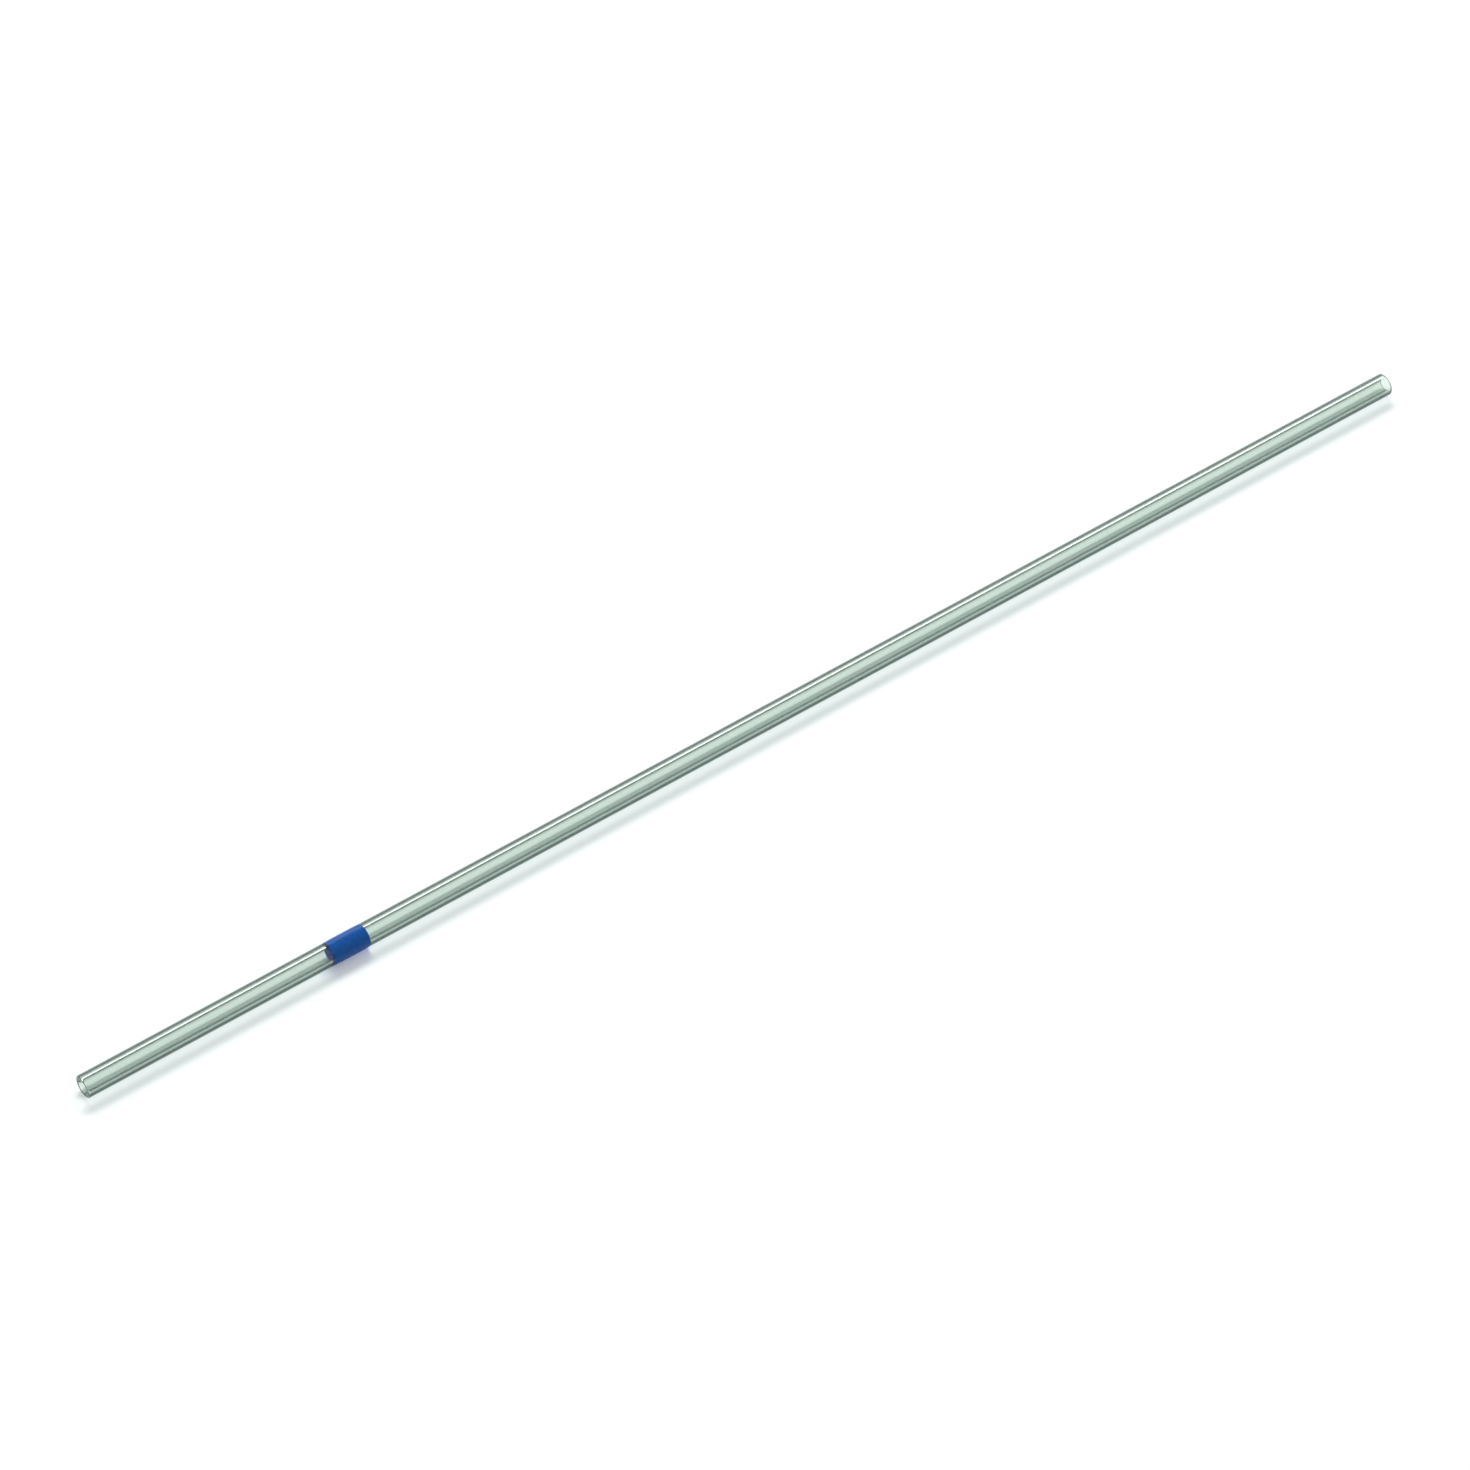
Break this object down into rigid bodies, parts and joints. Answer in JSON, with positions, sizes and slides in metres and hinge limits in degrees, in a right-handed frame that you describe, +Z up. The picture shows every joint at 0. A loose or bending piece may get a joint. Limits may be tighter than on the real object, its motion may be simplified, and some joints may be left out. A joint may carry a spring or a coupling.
{
  "type": "glass capillary tube",
  "caption": "Straight clear glass capillary with one fine bore, flame-polished ends and a fused blue colour band, for measuring and moving a small fixed volume of liquid.",
  "frame": {"origin": "on the surface that the tube lies on, under the middle of its length", "axes": "+X along the tube from the plain end, which goes into a holder and has the colour band near it, to the tip that dips into the liquid; +Z up"},
  "size_m": [0.125, 0.002, 0.002],
  "materials": {
    "clear_glass": "clear drawn glass with flame-polished ends",
    "blue_enamel": "glossy fused enamel"
  },
  "bodies": {
    "root": {"glass_tube": "clear_glass", "colour_band": "blue_enamel"}
  },
  "joints": []
}
